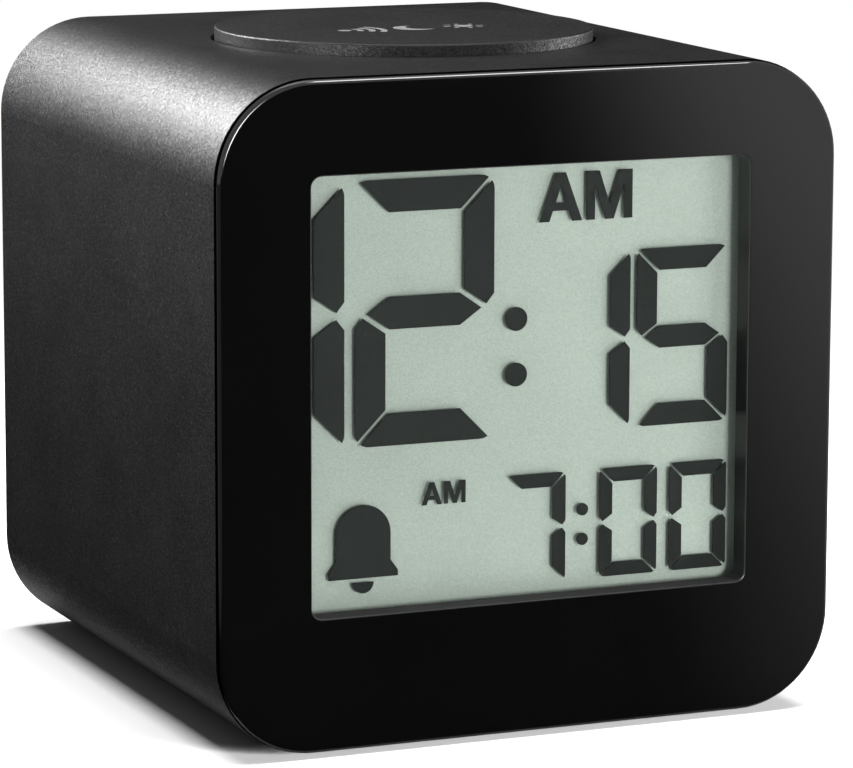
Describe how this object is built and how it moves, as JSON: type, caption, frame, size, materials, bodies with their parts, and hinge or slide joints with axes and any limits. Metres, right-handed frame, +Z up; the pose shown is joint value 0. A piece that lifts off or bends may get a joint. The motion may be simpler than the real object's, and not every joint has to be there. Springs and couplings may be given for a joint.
{
  "type": "talking alarm clock",
  "caption": "Cube-shaped digital alarm clock with a recessed segment display, a large round top button, and keys, speaker and battery door in the back",
  "frame": {"origin": "middle of the footprint, on the table under the feet", "axes": "+Z up, +X to the right of someone reading the display, -Y the way the display faces"},
  "size_m": [0.06, 0.06, 0.0615],
  "materials": {
    "satin_black_plastic": "satin, fine grain",
    "gloss_black_plastic": "high gloss",
    "button_plastic": "satin, fine grain",
    "black_rubber": "matte",
    "clear_pane": "clear",
    "display_glass": "clear",
    "segment_ink": "dark, flat",
    "reflector_film": "pale green-grey, flat",
    "light_guide_acrylic": "clear, polished",
    "lamp_resin": "cast resin",
    "elastomer": "matte",
    "circuit_board": "solder mask",
    "plated_steel": "plated",
    "epoxy": "moulded",
    "crystal_can": "drawn can",
    "capacitor_sleeve": "shrink sleeve",
    "socket_plastic": "moulded",
    "inner_plastic": "moulded",
    "switch_plastic": "moulded",
    "stem_plastic": "moulded",
    "key_plastic": "satin",
    "battery_sleeve": "printed sleeve, plain",
    "speaker_steel": "stamped",
    "magnet_ferrite": "sintered",
    "speaker_paper": "pressed paper",
    "speaker_cloth": "woven",
    "ribbon_film": "flat cable",
    "lead_insulation": "sleeved wire"
  },
  "bodies": {
    "case": {"case_shell": "satin_black_plastic", "rear_cover": "satin_black_plastic", "front_bezel": "gloss_black_plastic", "rubber_feet": "black_rubber", "display_window": "clear_pane", "lcd_front_glass": "display_glass", "lcd_rear_glass": "display_glass", "lcd_segments": "segment_ink", "lcd_reflector": "reflector_film", "light_guide": "light_guide_acrylic", "backlight_leds": "lamp_resin", "zebra_strips": "elastomer", "main_board": "circuit_board", "snooze_board": "circuit_board", "key_board": "circuit_board", "board_screws": "plated_steel", "bridge_screws": "plated_steel", "cover_screws": "plated_steel", "key_board_screws": "plated_steel", "button_spring": "plated_steel", "contact_springs": "plated_steel", "link_contact": "plated_steel", "positive_contact": "plated_steel", "negative_contact": "plated_steel", "controller_blob": "epoxy", "voice_chip": "epoxy", "timing_crystal": "crystal_can", "capacitors": "capacitor_sleeve", "board_connectors": "socket_plastic", "button_bridge": "inner_plastic", "snooze_switch": "switch_plastic", "key_switches": "switch_plastic", "alarm_switch_housing": "crystal_can", "upper_battery": "battery_sleeve", "lower_battery": "battery_sleeve", "speaker_basket": "speaker_steel", "speaker_magnet": "magnet_ferrite", "speaker_cone": "speaker_paper", "speaker_mesh": "speaker_cloth", "speaker_gasket": "elastomer", "snooze_ribbon": "ribbon_film", "key_ribbon": "ribbon_film", "battery_leads": "lead_insulation", "speaker_leads": "lead_insulation"},
    "top_button": {"top_button": "button_plastic", "snooze_switch_stem": "stem_plastic"},
    "time_key": {"time_key": "key_plastic", "time_key_stem": "stem_plastic"},
    "alarm_key": {"alarm_key": "key_plastic", "alarm_key_stem": "stem_plastic"},
    "hour_key": {"hour_key": "key_plastic", "hour_key_stem": "stem_plastic"},
    "minute_key": {"minute_key": "key_plastic", "minute_key_stem": "stem_plastic"},
    "alarm_switch": {"alarm_switch_knob": "key_plastic"},
    "battery_door": {"battery_door": "satin_black_plastic"}
  },
  "joints": [
    {"name": "top_button_press", "type": "slide", "parent": "case", "child": "top_button", "axis": [0, 0, -1], "range_m": [0, 0.0005], "stiffness_N_per_m": 1200, "springref_m": -0.001, "deforming": ["button_spring"]},
    {"name": "time_key_press", "type": "slide", "parent": "case", "child": "time_key", "axis": [0, -1, 0], "range_m": [0, 0.0004], "stiffness_N_per_m": 2000, "springref_m": -0.0003},
    {"name": "alarm_key_press", "type": "slide", "parent": "case", "child": "alarm_key", "axis": [0, -1, 0], "range_m": [0, 0.0004], "stiffness_N_per_m": 2000, "springref_m": -0.0003},
    {"name": "hour_key_press", "type": "slide", "parent": "case", "child": "hour_key", "axis": [0, -1, 0], "range_m": [0, 0.0004], "stiffness_N_per_m": 2000, "springref_m": -0.0003},
    {"name": "minute_key_press", "type": "slide", "parent": "case", "child": "minute_key", "axis": [0, -1, 0], "range_m": [0, 0.0004], "stiffness_N_per_m": 2000, "springref_m": -0.0003},
    {"name": "alarm_switch_slide", "type": "slide", "parent": "case", "child": "alarm_switch", "axis": [1, 0, 0], "range_m": [0, 0.0025]},
    {"name": "battery_door_tilt", "type": "hinge", "parent": "case", "child": "battery_door", "pos_m": [0, 0.0288, 0.00575], "axis": [-1, 0, 0], "range_deg": [0, 90]}
  ]
}
